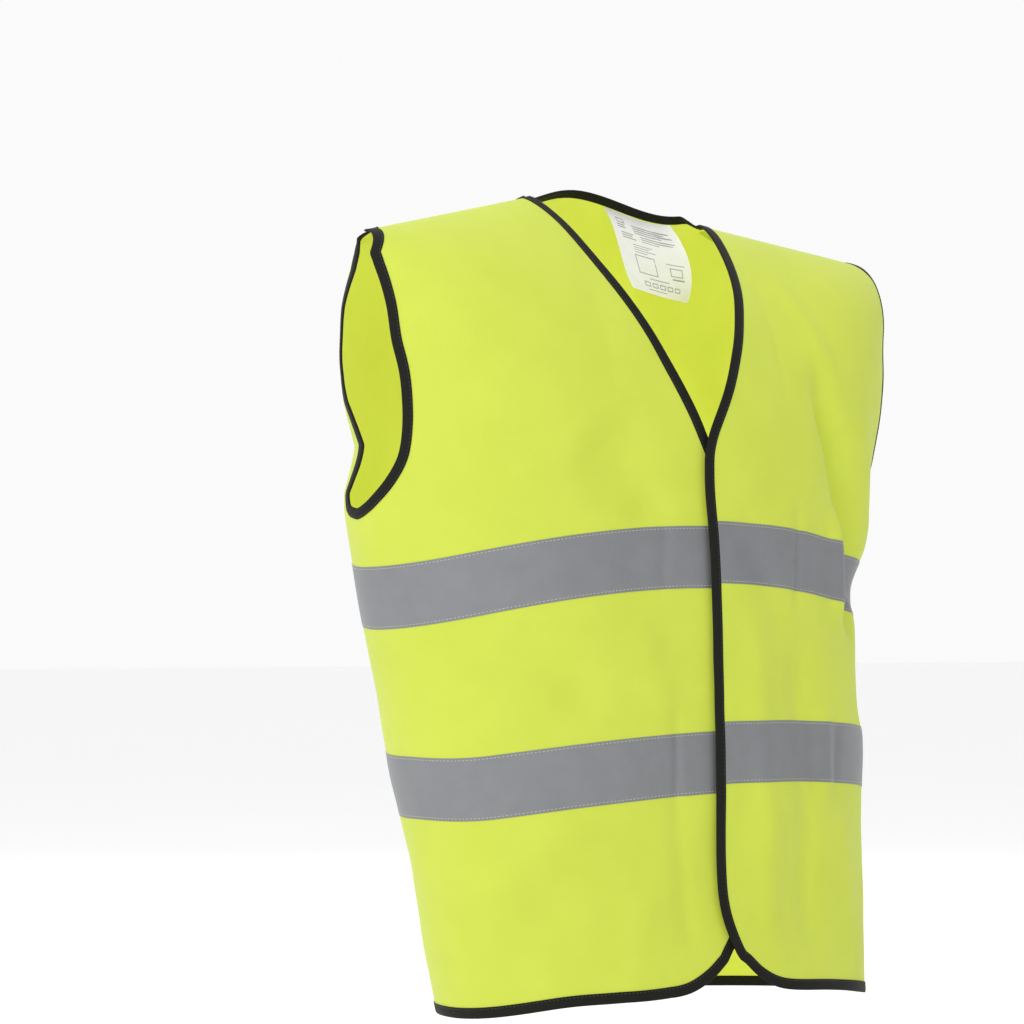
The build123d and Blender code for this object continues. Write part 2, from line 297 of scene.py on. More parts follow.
def halved(low, high, inside):
    """The values between low and high at which inside stops being true."""
    for _ in range(40):
        middle = (low + high) / 2
        keep = inside(middle)
        low, high = np.where(keep, middle, low), np.where(keep, high, middle)
    return (low + high) / 2


def side_place(panel, side, y, z):
    """(angle, fall) of a point near a side seam, from its y and z."""
    def inside(angle):
        fall = np.maximum(ridge_of(share_of(angle)) - z, 0)
        found = skin(panel, angle, fall)[..., 1]
        return found > y if panel == "back" else found < y

    angle = SIGN[side] * halved(np.full(np.shape(y), 0.6), np.full(np.shape(y), pi / 2), inside)
    return angle, np.maximum(ridge_of(share_of(angle)) - z, 0)


def fall_at(panel, angle, z):
    """The drop below the shoulder line at which the form has a height."""
    share = share_of(angle)
    fall = ridge_of(share) - z
    if panel == "back":
        fall = fall + NECK_RISE * neck_rise(share)
    return fall


# ---------- outlines

# Necklines and front edges from the neck point to the middle of the lower corner, in x and z
FRONT_EDGE = {
    "left": [
        (86, -6.5), (73, -37), (60, -67), (45, -98), (17, -155), (0, -193), (-3.5, -228), (1, -300),
        (4, -400), (4, -530), (7, -574), (18, -608), (26, -616),
    ],
    "right": [
        (-86, 6.5), (-77, -19), (-67, -50), (-45, -101), (-21, -152), (2, -195), (20, -230),
        (32, -262), (36, -300), (36, -400), (36, -551), (30, -585), (10, -615),
    ],
}
# Hems from there to the side seam
FRONT_HEM = {
    "left": [(26, -616), (38, -627), (54, -635.5), (74, -639.5), (120, -643), (170, -649)],
    "right": [(10, -615), (-6, -627), (-28, -637.5), (-54, -641), (-92, -643), (-130, -646)],
}
# Armhole edges from the shoulder tip to the underarm, in y and z
ARMHOLE_FRONT = {
    "left": [
        (0, -31), (-22, -44), (-40, -67), (-48, -96), (-50, -130), (-48, -171), (-42, -200),
        (-20, -232), (0, -248),
    ],
    "right": [
        (0, -28), (-21, -44), (-34, -66), (-42, -90), (-46, -118), (-49.5, -143), (-48, -166), (-43, -191),
        (-35, -212), (-21, -230), (-4, -244), (7, -250),
    ],
}
ARMHOLE_BACK = {
    "left": [(0, -31), (12, -44), (28, -70), (41, -105), (42, -165), (36, -215), (30, -240), (25, -249)],
    "right": [
        (0, -28), (6, -42), (18, -62), (34, -90), (38, -115), (36, -145), (25, -175), (20, -205), (26, -228),
        (30, -241), (26, -249),
    ],
}
ROWS = 176
FRONT_COLUMNS = 92
NECK_COLUMNS = 44
SHOULDER_COLUMNS = 48
MEAN_RADIUS = 190  # turns an angle into a rough length
TOP_CROWDING = 1.25  # rows stand closer at the shoulders, where the form turns fast


def graded(count):
    return np.linspace(0, 1, count) ** TOP_CROWDING


def fill(top, bottom, near, far):
    """A grid between four edges that share corners."""
    u = np.linspace(0, 1, len(top))[None, :, None]
    v = graded(len(near))[:, None, None]
    across = (1 - v) * top[None] + v * bottom[None]
    downward = (1 - u) * near[:, None] + u * far[:, None]
    high_corners = (1 - v) * ((1 - u) * top[0] + u * top[-1])
    low_corners = v * ((1 - u) * bottom[0] + u * bottom[-1])
    return across + downward - high_corners - low_corners


def places(pair):
    return np.stack(pair, -1)


# Above this height an armhole's edge runs straight to the shoulder tip
TIP_STRAIGHT = {"back": -38, "left": -50, "right": -50}


def tip_angle(side):
    return SIGN[side] * np.arcsin(TIP_SHARES[side] ** (1 / SKEW_POWER))


def side_edge(panel, side):
    """The armhole's edge and the side seam, from the shoulder tip to the hem, in y and z."""
    holes = ARMHOLE_BACK if panel == "back" else ARMHOLE_FRONT
    underarm = float(skin(panel, np.array(pi / 2), fall_at(panel, np.array(pi / 2), UNDERARM))[1])
    hole = spaced([*holes[side], (underarm, UNDERARM)], 160)
    arm = places(side_place(panel, side, hole[:, 0], hole[:, 1]))
    steep = hole[:, 1] < TIP_STRAIGHT[panel]
    first = np.argmax(steep)
    shares = np.linspace(0, 1, first + 1)[:, None]
    arm[:first + 1] = (1 - shares) * (tip_angle(side), 0) + shares * arm[first]
    arm[-1, 0] = SIGN[side] * pi / 2
    seam_z = np.linspace(UNDERARM, HEM_SIDE, 80)[1:]
    seam_angle = np.full(len(seam_z), SIGN[side] * pi / 2)
    seam = places((seam_angle, fall_at(panel, seam_angle, seam_z)))
    return arm, seam


def mixed(lines, heights):
    """Edges in angle and fall, joined, then sampled by the length they have in space."""
    line = np.vstack(lines)
    gone = distances(line * (MEAN_RADIUS, 1))
    wanted = heights * gone[-1]
    return np.stack([np.interp(wanted, gone, line[:, k]) for k in (0, 1)], -1)


def front_edges(side):
    """The four edges of a front: shoulder, hem, front edge and armhole with side seam."""
    inner_xz = spaced(FRONT_EDGE[side], 400)
    inner = mixed([places(front_place(inner_xz[:, 0], inner_xz[:, 1]))], graded(ROWS))
    hem_end = skin(side, np.array(SIGN[side] * pi / 2), fall_at(side, np.array(pi / 2), HEM_SIDE))
    hem_xz = spaced([*FRONT_HEM[side], (hem_end[0], hem_end[2])], 200)
    bottom = mixed([places(front_place(hem_xz[:, 0], hem_xz[:, 1]))], np.linspace(0, 1, FRONT_COLUMNS))
    outer = mixed(side_edge(side, side), graded(ROWS))
    top_angle = np.linspace(inner[0, 0], outer[0, 0], FRONT_COLUMNS)
    top = places((top_angle, 0 * top_angle))
    inner[0], outer[0] = top[0], top[-1]
    inner[-1], outer[-1] = bottom[0], bottom[-1]
    return top, bottom, inner, outer


def neck_edge(count):
    """The back neckline, from the right neck point to the left one."""
    neck_angle = np.arcsin(NECK_SHARE ** (1 / SKEW_POWER))
    angle = neck_angle * np.sin(np.linspace(-pi / 2, pi / 2, count))

    def inside(fall):
        x, y, _ = skin("back", angle, fall).T
        return (x / NECK_HALF) ** 2 + (y / BACK_NECK_DEPTH) ** 2 <= 1

    fall = halved(np.zeros(count), np.full(count, 60.0), inside)
    fall[0] = fall[-1] = 0
    return places((angle, fall))


def back_edges():
    neck = neck_edge(NECK_COLUMNS)
    right = np.linspace(tip_angle("right"), neck[0, 0], SHOULDER_COLUMNS)
    left = np.linspace(neck[-1, 0], tip_angle("left"), SHOULDER_COLUMNS)
    top = np.vstack([places((right, 0 * right))[:-1], neck, places((left, 0 * left))[1:]])
    near = mixed(side_edge("back", "right"), graded(ROWS))
    far = mixed(side_edge("back", "left"), graded(ROWS))
    hem_angle = np.linspace(-pi / 2, pi / 2, len(top))
    bottom = places((hem_angle, fall_at("back", hem_angle, HEM_SIDE)))
    near[0], far[0] = top[0], top[-1]
    near[-1], far[-1] = bottom[0], bottom[-1]
    return top, bottom, near, far


# ---------- meshes

def girth(angle):
    """How far round the cloth an angle is from the middle, in mm, for the weave."""
    steps = np.linspace(0, pi / 2, 200)
    ring = skin("back", steps, np.full(200, 250.0))
    return np.sign(angle) * np.interp(np.abs(angle), steps, distances(ring))


def make(name, vertices, faces, uvs, material):
    """A smooth mesh object from vertices in mm, faces and a UV in mm for each vertex."""
    mesh = bpy.data.meshes.new(name)
    mesh.from_pydata((np.asarray(vertices) * MM).tolist(), [], faces)
    layer = mesh.uv_layers.new(name="cloth")
    corners = np.zeros(len(mesh.loops), int)
    mesh.loops.foreach_get("vertex_index", corners)
    layer.data.foreach_set("uv", (np.asarray(uvs)[corners] * MM).ravel())
    turned = bmesh.new()
    turned.from_mesh(mesh)
    bmesh.ops.recalc_face_normals(turned, faces=turned.faces)
    turned.to_mesh(mesh)
    turned.free()
    mesh.polygons.foreach_set("use_smooth", [True] * len(mesh.polygons))
    mesh.set_sharp_from_angle(angle=radians(50))
    piece = bpy.data.objects.new(name, mesh)
    bpy.context.scene.collection.objects.link(piece)
    piece.data.materials.append(material)
    return piece


def grid_quads(index):
    """The faces between the points of a grid."""
    return np.stack([index[:-1, :-1], index[1:, :-1], index[1:, 1:], index[:-1, 1:]], -1).reshape(-1, 4)


def slab(name, inner, outer, uv, material):
    """A closed sheet between two grids of points of the same size."""
    rows, columns = inner.shape[:2]
    count = rows * columns
    index = np.arange(count).reshape(rows, columns)
    quads = grid_quads(index)
    rim = np.concatenate([index[0, :-1], index[:-1, -1], index[-1, :0:-1], index[:0:-1, 0]])
    after = np.roll(rim, -1)
    walls = np.stack([rim, after, after + count, rim + count], -1)
    faces = np.vstack([quads + count, quads[:, ::-1], walls]).tolist()
    vertices = np.vstack([inner.reshape(-1, 3), outer.reshape(-1, 3)])
    flat = uv.reshape(-1, 2)
    return make(name, vertices, faces, np.vstack([flat, flat]), material)


def cloth_slab(name, panel, grid, low, high, material):
    """A closed sheet on the form, from a grid of angle and fall and two heights above the cloth."""
    angle, fall = grid[..., 0], grid[..., 1]
    inner = lifted(panel, angle, fall, low)
    outer = lifted(panel, angle, fall, high)
    uv = np.stack([girth(angle), -fall], -1)
    return slab(name, inner, outer, uv, material)


def ribbon(name, rings, material, closed):
    """A tube through rings of points, one ring at each step of a path."""
    steps, around = rings.shape[:2]
    index = np.arange(steps * around).reshape(steps, around)
    if closed:
        index = np.vstack([index, index[:1]])
    turned = np.roll(index, -1, axis=1)
    quads = np.stack([index[:-1], turned[:-1], turned[1:], index[1:]], -1).reshape(-1, 4).tolist()
    if not closed:
        quads.append(index[0][::-1].tolist())
        quads.append(index[-1].tolist())
    v = distances(rings.mean(1))
    girths = np.linalg.norm(np.diff(rings, axis=1), axis=2).mean(0)
    u = np.concatenate([[0], np.cumsum(girths)])
    uv = np.stack(np.broadcast_arrays(u[None], v[:, None]), -1).reshape(-1, 2)
    return make(name, rings.reshape(-1, 3), quads, uv, material)


class Base:
    """The sewn cloth as one surface, which gives points a little inside an edge."""

    def __init__(self, *grids):
        vertices, faces, start = [], [], 0
        for panel, grid in grids:
            points = lifted(panel, grid[..., 0], grid[..., 1], PANEL_TOP / 2)
            rows, columns = points.shape[:2]
            vertices.append(points.reshape(-1, 3))
            faces.append(grid_quads(np.arange(rows * columns).reshape(rows, columns) + start))
            start += rows * columns
        self.tree = BVHTree.FromPolygons(np.vstack(vertices).tolist(), np.vstack(faces).tolist())

    def under(self, point, outward):
        """The nearest point of the cloth and its normal, on the side that outward points to."""
        place, normal, _, _ = self.tree.find_nearest(Vector(point))
        if normal.dot(Vector(outward)) < 0:
            normal = -normal
        return np.array(place), np.array(normal)


def edge_frames(points, outward, base, closed=False):
    """The inward direction at each point of an edge, lying in the cloth."""
    forward = np.gradient(points, axis=0)
    if closed:
        forward = np.roll(points, -1, axis=0) - np.roll(points, 1, axis=0)
    inward = unit(np.cross(outward, forward))
    few = slice(None, None, max(len(points) // 30, 1))
    near, far = (
        sum(base.tree.find_nearest(Vector(spot))[3] for spot in points[few] + side * 8 * inward[few])
        for side in (1, -1)
    )
    return inward if near < far else -inward


def smoothed(rows, times):
    for _ in range(times):
        rows = np.vstack([rows[:1], (rows[:-2] + 2 * rows[1:-1] + rows[2:]) / 4, rows[-1:]])
    return unit(rows)


# The folded binding's section: distance in from the raw edge, and height above the cloth's middle
BINDING_SECTION = [
    (7.4, 0.35), (7.9, 0.55), (7.9, 0.85), (7.4, 1.05), (6.8, 1.02), (6.3, 0.88), (5.7, 1.0),
    (4.0, 1.1), (2.0, 1.1), (0.6, 1.05), (-0.5, 0.8), (-1.0, 0.35), (-1.0, -0.25), (-0.5, -0.7),
    (0.6, -0.95), (2.0, -1.0), (4.0, -1.0), (5.7, -0.95), (6.6, -1.0), (7.2, -0.95), (7.6, -0.7),
    (7.4, -0.35), (4.0, -0.33), (0.2, -0.33), (0.2, 0.33), (4.0, 0.33),
]


def bind(name, points, outward, base, material, closed=False):
    """A binding folded over an edge of the cloth."""
    outward = smoothed(outward, 3)
    inward = edge_frames(points, outward, base, closed)
    rings = np.zeros((len(points), len(BINDING_SECTION), 3))
    for ring, point, out, way in zip(rings, points, outward, inward):
        for column, (depth, height) in enumerate(BINDING_SECTION):
            spot, normal = point + way * depth, out
            if depth > 1:
                spot, normal = base.under(spot, out)
            ring[column] = spot + normal * height
    return ribbon(name, rings, material, closed)


def edge_points(panel, line, step=3.0):
    """Points and outward directions along an edge given in angle and fall."""
    low = lifted(panel, line[:, 0], line[:, 1], PANEL_TOP / 2)
    high = lifted(panel, line[:, 0], line[:, 1], PANEL_TOP / 2 + 1)
    both = evenly(np.hstack([low, high]), int(distances(low)[-1] / step))
    return both[:, :3], both[:, 3:] - both[:, :3]


# Along a stitch: the place, the thickness and the height, as shares of its length, radius and 1 mm
STITCH_SECTIONS = [
    (-0.5, 0.35, -0.35), (-0.38, 0.85, -0.1), (-0.15, 1.0, 0),
    (0.15, 1.0, 0), (0.38, 0.85, -0.1), (0.5, 0.35, -0.35),
]
STITCH_PITCH, STITCH_LENGTH, STITCH_RADIUS = 3.2, 2.3, 0.27
THREAD_SIDES = 6


def stitches(name, rows, material):
    """Rows of lockstitches. Each is a short rounded thread whose ends sink into the cloth."""
    vertices, faces, start = [], [], 0
    around = np.linspace(0, 2 * pi, THREAD_SIDES, endpoint=False)
    for points, outward in rows:
        count = int(distances(points)[-1] / STITCH_PITCH)
        both = evenly(np.hstack([points, outward]), count)
        spot, out = both[:, :3], unit(both[:, 3:])
        forward = unit(np.gradient(spot, axis=0))
        beside = np.cross(forward, out)
        jitter = random.uniform(0.85, 1.1, count)[:, None]
        rings = []
        for place, thick, sink in STITCH_SECTIONS:
            centre = spot + forward * place * STITCH_LENGTH * jitter + out * sink
            for turn in around:
                rings.append(centre + (beside * cos(turn) + out * sin(turn)) * STITCH_RADIUS * thick)
        vertices.append(np.stack(rings, 1).reshape(-1, 3))
        index = start + np.arange(count * len(rings)).reshape(count, -1, THREAD_SIDES)
        turned = np.roll(index, -1, axis=2)
        sides = np.stack([index[:, :-1], turned[:, :-1], turned[:, 1:], index[:, 1:]], -1)
        faces += sides.reshape(-1, 4).tolist() + index[:, 0, ::-1].tolist() + index[:, -1].tolist()
        start += index.size
    vertices = np.vstack(vertices)
    return make(name, vertices, faces, vertices[:, [0, 2]] + vertices[:, [1, 1]], material)


# ---------- materials

class Nodes:
    """A material's or world's nodes, added one after another."""

    def __init__(self, owner):
        owner.use_nodes = True
        self.tree = owner.node_tree

    def put(self, socket, value):
        if isinstance(value, bpy.types.NodeSocket):
            self.tree.links.new(value, socket)
        else:
            socket.default_value = value

    def add(self, kind, inputs, **settings):
        """A new node's outputs. Its inputs are values or other nodes' outputs."""
        made = self.tree.nodes.new(f"ShaderNode{kind}")
        for key, value in settings.items():
            setattr(made, key, value)
        for key, value in inputs.items():
            self.put(made.inputs[key], value)
        return made.outputs


class Paint(Nodes):
    """A material whose shader takes what the nodes make."""

    def __init__(self, name):
        self.material = bpy.data.materials.new(name)
        super().__init__(self.material)
        self.shader = self.tree.nodes["Principled BSDF"]

    def math(self, operation, *values):
        return self.add("Math", dict(enumerate(values)), operation=operation)[0]

    def sum_of(self, a, a_weight, b, b_weight):
        """Two values added, each times its weight."""
        return self.math("MULTIPLY_ADD", a, a_weight, self.math("MULTIPLY", b, b_weight))

    def cloth_place(self):
        """The place on the flat cloth, in millimetres."""
        place = self.add("UVMap", {}, uv_map="cloth")["UV"]
        scaled = self.add("VectorMath", {0: place, "Scale": 1000}, operation="SCALE")[0]
        split = self.add("SeparateXYZ", {0: scaled})
        return scaled, split["X"], split["Y"]

    def noise(self, vector, size, detail=2.0, roughness=0.5):
        """Noise from 0 to 1 with features of a size in the vector's units."""
        inputs = {"Vector": vector, "Scale": 1 / size, "Detail": detail, "Roughness": roughness}
        return self.add("TexNoise", inputs)["Fac"]

    def between(self, amount, low, high):
        """A colour between two, by an amount from 0 to 1."""
        inputs = {"Factor": amount, "A": (*low, 1), "B": (*high, 1)}
        return self.add("Mix", inputs, data_type="RGBA")["Result"]

    def stretch(self, amount, low, high):
        """An amount from 0 to 1 moved to a range."""
        return self.add("MapRange", {"Value": amount, "To Min": low, "To Max": high})["Result"]

    def bump(self, height, distance, strength=1.0):
        """Bump with a height in millimetres."""
        inputs = {"Strength": strength, "Distance": distance * MM, "Height": height}
        self.put(self.shader.inputs["Normal"], self.add("Bump", inputs)["Normal"])

    def set(self, **values):
        for name, value in values.items():
            self.put(self.shader.inputs[name.replace("_", " ")], value)


def wave(paint, place, pitch, phase=0.0):
    """A smooth wave from 0 to 1 across a place in millimetres."""
    turned = paint.math("MULTIPLY_ADD", place, 2 * pi / pitch, phase)
    return paint.math("MULTIPLY_ADD", paint.math("SINE", turned), 0.5, 0.5)


def knit_paint(name, glow, glow_low, glow_high):
    """Fluorescent warp knit: upright wales of small slanted loops, with a painted glow between two colours:
    a steady emission that stands in for the fluorescent brightness and lifts the shade.
    """
    paint = Paint(name)
    place, x, y = paint.cloth_place()
    courses = wave(paint, y, 1.0)
    shifted = paint.math("MULTIPLY_ADD", courses, 0.22, x)
    wales = wave(paint, shifted, 0.85)
    loops = paint.math("MULTIPLY", wales, paint.math("MULTIPLY_ADD", courses, 0.5, 0.5))
    fibres = paint.noise(place, 0.25, 3)
    height = paint.math("MULTIPLY_ADD", fibres, 0.4, loops)
    cloudy = paint.noise(place, 60, 3, 0.6)
    # The tone is partly random cloudiness and partly painted shade: the hollows between the loops come out
    # darker, and the glow follows the tone too.
    tone = paint.sum_of(loops, 0.35, cloudy, 0.65)
    paint.set(
        Base_Color=paint.between(tone, (0.41, 0.485, 0.050), (0.51, 0.585, 0.080)),
        Roughness=paint.stretch(fibres, 0.62, 0.82),
        # Painted light: the emission makes the cloth glow, in shade as much as in light.
        Emission_Color=paint.between(tone, glow_low, glow_high),
        Emission_Strength=glow,
        Sheen_Weight=0.15,
        Sheen_Roughness=0.45,
        Specular_IOR_Level=0.3,
    )
    paint.bump(height, 0.14, 0.8)
    return paint.material


def tape_paint():
    """Silver reflective tape: a fine glass bead coating on a thin woven backing."""
    paint = Paint("silver_tape")
    place, x, y = paint.cloth_place()
    beads = paint.add("TexVoronoi", {"Vector": place, "Scale": 3.0})["Distance"]
    weave = paint.math("MULTIPLY", wave(paint, x, 0.6), wave(paint, y, 0.6))
    worn = paint.noise(place, 22, 4, 0.65)
    grain = paint.noise(place, 1.2, 3, 0.7)
    tone = paint.sum_of(worn, 0.6, grain, 0.4)
    paint.set(
        Base_Color=paint.between(tone, (0.185, 0.19, 0.20), (0.265, 0.272, 0.288)),
        Roughness=paint.stretch(grain, 0.42, 0.6),
        Metallic=0.35,
        Specular_IOR_Level=0.5,
        Sheen_Weight=0.1,
    )
    paint.bump(paint.sum_of(beads, 0.6, weave, 0.5), 0.05, 0.7)
    return paint.material


def binding_paint():
    """Black ribbed binding tape."""
    paint = Paint("black_binding")
    place, x, y = paint.cloth_place()
    ribs = wave(paint, y, 0.9)
    cross = wave(paint, x, 0.7)
    fibres = paint.noise(place, 0.3, 3)
    grid = paint.math("MULTIPLY", ribs, paint.math("MULTIPLY_ADD", cross, 0.4, 0.6))
    height = paint.math("MULTIPLY_ADD", fibres, 0.35, grid)
    # The colour follows the rib height: painted shade, darker in the hollows between the ribs.
    paint.set(
        Base_Color=paint.between(height, (0.004, 0.004, 0.003), (0.013, 0.013, 0.010)),
        Roughness=paint.stretch(fibres, 0.62, 0.85),
        Sheen_Weight=0.05,
        Sheen_Roughness=0.4,
        Specular_IOR_Level=0.18,
    )
    paint.bump(height, 0.14, 0.9)
    return paint.material


def thread_paint(name, dark, light):
    """Spun thread with a fine twist."""
    paint = Paint(name)
    _, x, y = paint.cloth_place()
    twist = wave(paint, paint.math("ADD", x, y), 0.5)
    # The colour follows the twist: painted shade in its grooves, lighter on its ridges.
    paint.set(
        Base_Color=paint.between(twist, dark, light),
        Roughness=0.6,
        Sheen_Weight=0.2,
    )
    paint.bump(twist, 0.04, 0.8)
    return paint.material


def label_paint():
    """White satin label cloth."""
    paint = Paint("white_label")
    place, x, y = paint.cloth_place()
    weave = paint.math("MULTIPLY", wave(paint, x, 0.25), wave(paint, y, 0.4))
    cloudy = paint.noise(place, 14, 3)
    paint.set(
        Base_Color=paint.between(cloudy, (0.76, 0.76, 0.74), (0.86, 0.86, 0.84)),
        Roughness=paint.stretch(weave, 0.38, 0.52),
        Sheen_Weight=0.15,
    )
    paint.bump(weave, 0.03, 0.6)
    return paint.material


def print_paint():
    """Grey label ink, a little uneven."""
    paint = Paint("label_print")
    place, _, _ = paint.cloth_place()
    grain = paint.noise(place, 0.4, 3)
    paint.set(
        Base_Color=paint.between(grain, (0.26, 0.26, 0.27), (0.42, 0.42, 0.43)),
        Roughness=0.6,
    )
    return paint.material


def tab_paint(name, dark, light, pitch, depth):
    """Hook or loop tape: a dense field of small tufts."""
    paint = Paint(name)
    place, _, _ = paint.cloth_place()
    tufts = paint.add("TexVoronoi", {"Vector": place, "Scale": 1 / pitch})["Distance"]
    fluff = paint.noise(place, pitch / 2, 3)
    height = paint.math("MULTIPLY_ADD", fluff, 0.5, paint.math("SUBTRACT", 1.0, tufts))
    # The colour follows the tuft height: painted shade between the tufts, lighter on their tops.
    paint.set(
        Base_Color=paint.between(height, dark, light),
        Roughness=0.8,
        Sheen_Weight=0.3,
    )
    paint.bump(height, depth, 0.9)
    return paint.material


def floor_paint():
    """Pale studio floor, faintly mottled."""
    paint = Paint("pale_floor")
    mottle = paint.noise(paint.add("TexCoord", {})["Object"], 0.6, 3)
    paint.set(
        Base_Color=paint.between(mottle, (0.93, 0.93, 0.93), (0.96, 0.96, 0.96)),
        Roughness=0.7,
        Emission_Color=(1, 1, 1, 1),
        Emission_Strength=0.14,
    )
    return paint.material


# Both knits carry a painted glow. This one, for the outer faces, is the weaker.
KNIT = knit_paint("yellow_knit", 0.25, (0.52, 0.62, 0.020), (0.60, 0.70, 0.034))
# Painted light: the inner faces get a stronger glow, standing in for the light that comes through the thin
# cloth
KNIT_INSIDE_PAINTED_GLOW = knit_paint("yellow_knit_inside_painted_glow", 0.56, (0.56, 0.58, 0.06), (0.64, 0.66, 0.09))
TAPE = tape_paint()
BINDING = binding_paint()
TAPE_THREAD = thread_paint("tape_thread", (0.36, 0.38, 0.26), (0.58, 0.60, 0.46))
BINDING_THREAD = thread_paint("binding_thread", (0.008, 0.008, 0.008), (0.03, 0.03, 0.03))
SEAM_THREAD = thread_paint("seam_thread", (0.50, 0.60, 0.05), (0.66, 0.76, 0.10))
LABEL = label_paint()
PRINT = print_paint()
HOOKS = tab_paint("hook_tape", (0.006, 0.006, 0.006), (0.03, 0.03, 0.03), 1.3, 0.4)
LOOPS = tab_paint("loop_tape", (0.010, 0.010, 0.010), (0.04, 0.04, 0.04), 0.9, 0.3)

# ---------- camera, light and floor

CAMERA_TURN = radians(-35)  # round from the front, towards the wearer's right
CAMERA_DISTANCE = 3100
CAMERA_HEIGHT = -345
CAMERA_LENS = 130.78125
CAMERA_SHIFT = (-0.1015625, 0.111328125)

camera_data = bpy.data.cameras.new("camera")
camera_data.lens = CAMERA_LENS
camera_data.shift_x, camera_data.shift_y = CAMERA_SHIFT
camera = bpy.data.objects.new("camera", camera_data)
bpy.context.scene.collection.objects.link(camera)
camera_side, camera_front = CAMERA_DISTANCE * sin(CAMERA_TURN), -CAMERA_DISTANCE * cos(CAMERA_TURN)
camera.location = Vector((camera_side, camera_front, CAMERA_HEIGHT)) * MM
camera.rotation_euler = (pi / 2, 0, CAMERA_TURN)
bpy.context.scene.camera = camera

# Lights and floor below are in metres
VEST_MIDDLE = Vector((0, 0, -0.35))


def soft_light(name, place, size, power):
    """A round lamp that faces the vest."""
    data = bpy.data.lights.new(name, "AREA")
    data.shape = "DISK"
    data.size = size
    data.energy = power
    lamp = bpy.data.objects.new(name, data)
    bpy.context.scene.collection.objects.link(lamp)
    lamp.location = place
    lamp.rotation_euler = (VEST_MIDDLE - Vector(place)).to_track_quat("-Z", "Y").to_euler()


soft_light("key", (-2.5, -1.7, 2.1), 1.2, 58)
soft_light("front", (-0.6, -3.0, 0.3), 2.2, 5)
soft_light("top", (0.3, 0.2, 2.6), 2.0, 8)
soft_light("behind", (1.5, 2.6, 1.2), 2.0, 8)

BRIGHT_SIDE = (-0.20, 0.93, 0.31)  # the way from the vest to the brightest part of the studio
STUDIO_RANGE = {"From Min": -0.7, "From Max": 0.45, "To Min": 0.42, "To Max": 0.96}

world = bpy.data.worlds.new("studio")
studio = Nodes(world)
way = studio.add("TexCoord", {})["Generated"]
toward = studio.add("VectorMath", {0: way, 1: BRIGHT_SIDE}, operation="DOT_PRODUCT")["Value"]
strength = studio.add("MapRange", {"Value": toward, **STUDIO_RANGE}, interpolation_type="SMOOTHSTEP")
light = studio.tree.nodes["Background"].inputs
studio.put(light["Color"], (1, 1, 1, 1))
studio.put(light["Strength"], strength["Result"])
bpy.context.scene.world = world
bpy.context.scene.view_settings.view_transform = "Standard"

FLOOR_HEIGHT = -0.76
FLOOR_CORNERS = [(-30, -30), (30, -30), (30, 30), (-30, 30)]
floor_mesh = bpy.data.meshes.new("floor")
floor_mesh.from_pydata([(x, y, FLOOR_HEIGHT) for x, y in FLOOR_CORNERS], [], [(0, 1, 2, 3)])
floor = bpy.data.objects.new("floor", floor_mesh)
bpy.context.scene.collection.objects.link(floor)
floor.data.materials.append(floor_paint())

# ---------- attaching

FOLD_TOP = (40, -110)
FOLD_BOTTOM = (150, -690)


def follow(piece):
    """A front's piece has its transform baked into its mesh. The way along the fold line is worked out but
    not used.
    """
    run = np.array(FOLD_BOTTOM, float) - np.array(FOLD_TOP)
    run /= np.hypot(*run)
    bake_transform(piece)


def attach(piece, panel, slot=None, *nodes):
    """A back piece moves with the back, a front's piece is only baked in place, and the nodes named, which
    the piece stands for, are hidden.
    """
    if panel == "back":
        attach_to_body(piece, "back")
    else:
        follow(piece)
    if nodes:
        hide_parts(*nodes)


# ---------- panels

GRID = {side: fill(*front_edges(side)) for side in SIGN}
GRID["back"] = fill(*back_edges())


def panel_piece(name, panel):
    """A panel of the vest, whose inner face has its own paint, with a stronger painted glow for light that
    comes through the cloth.
    """
    piece = cloth_slab(name, panel, GRID[panel], 0, PANEL_TOP, KNIT)
    piece.data.materials.append(KNIT_INSIDE_PAINTED_GLOW)
    rows, columns = GRID[panel].shape[:2]
    quads = (rows - 1) * (columns - 1)
    sides = np.zeros(len(piece.data.polygons), int)
    # The inner faces take the second paint, with its stronger painted glow.
    sides[quads:2 * quads] = 1
    piece.data.polygons.foreach_set("material_index", sides)
    return piece


attach(panel_piece("back_panel_cloth", "back"), "back", "fluorescent_knit", "back_panel")
for side in SIGN:
    front = panel_piece(f"{side}_front_cloth", side)
    attach(front, side, "fluorescent_knit", f"{side}_side_panel", f"{side}_front_panel")

BASE = {side: Base((side, GRID[side]), ("back", GRID["back"])) for side in SIGN}

# ---------- reflective tapes

# Height of the top edge at the middle, how far it sags at the sides, its tilt, and how far
# each front's tape stands off that height where the fronts meet
TAPES = {
    "upper": (-263, 37, 0.0, {"left": 2.5, "right": -1.5, "back": 0}),
    "lower": (-425, 22, 0.035, {"left": 2.5, "right": -5, "back": 0}),
}
TAPE_COLUMNS = 150
STITCH_INSET = 2.0
UNDER_BINDING = 4  # a tape's front end lies this far in from the raw edge
DROPS = np.array([0, 0.3, 1.2, 2.0, 2.8, 4, 8, 14, 20, 25, 30, 36, 42, 46, 47.2, 48.0, 48.8, 49.7, 50])


def tape_z(level, panel, angle, drop):
    """Height of a tape at an angle and a distance below its top edge."""
    top, sag, tilt, steps = TAPES[level]
    x = skin(panel, angle, fall_at(panel, angle, top - TAPE_WIDTH / 2))[..., 0]
    step = steps[panel] * ease((pi / 2 - np.abs(angle)) / 0.6)
    return top - sag * (x / 245) ** 2 + tilt * x + step - drop


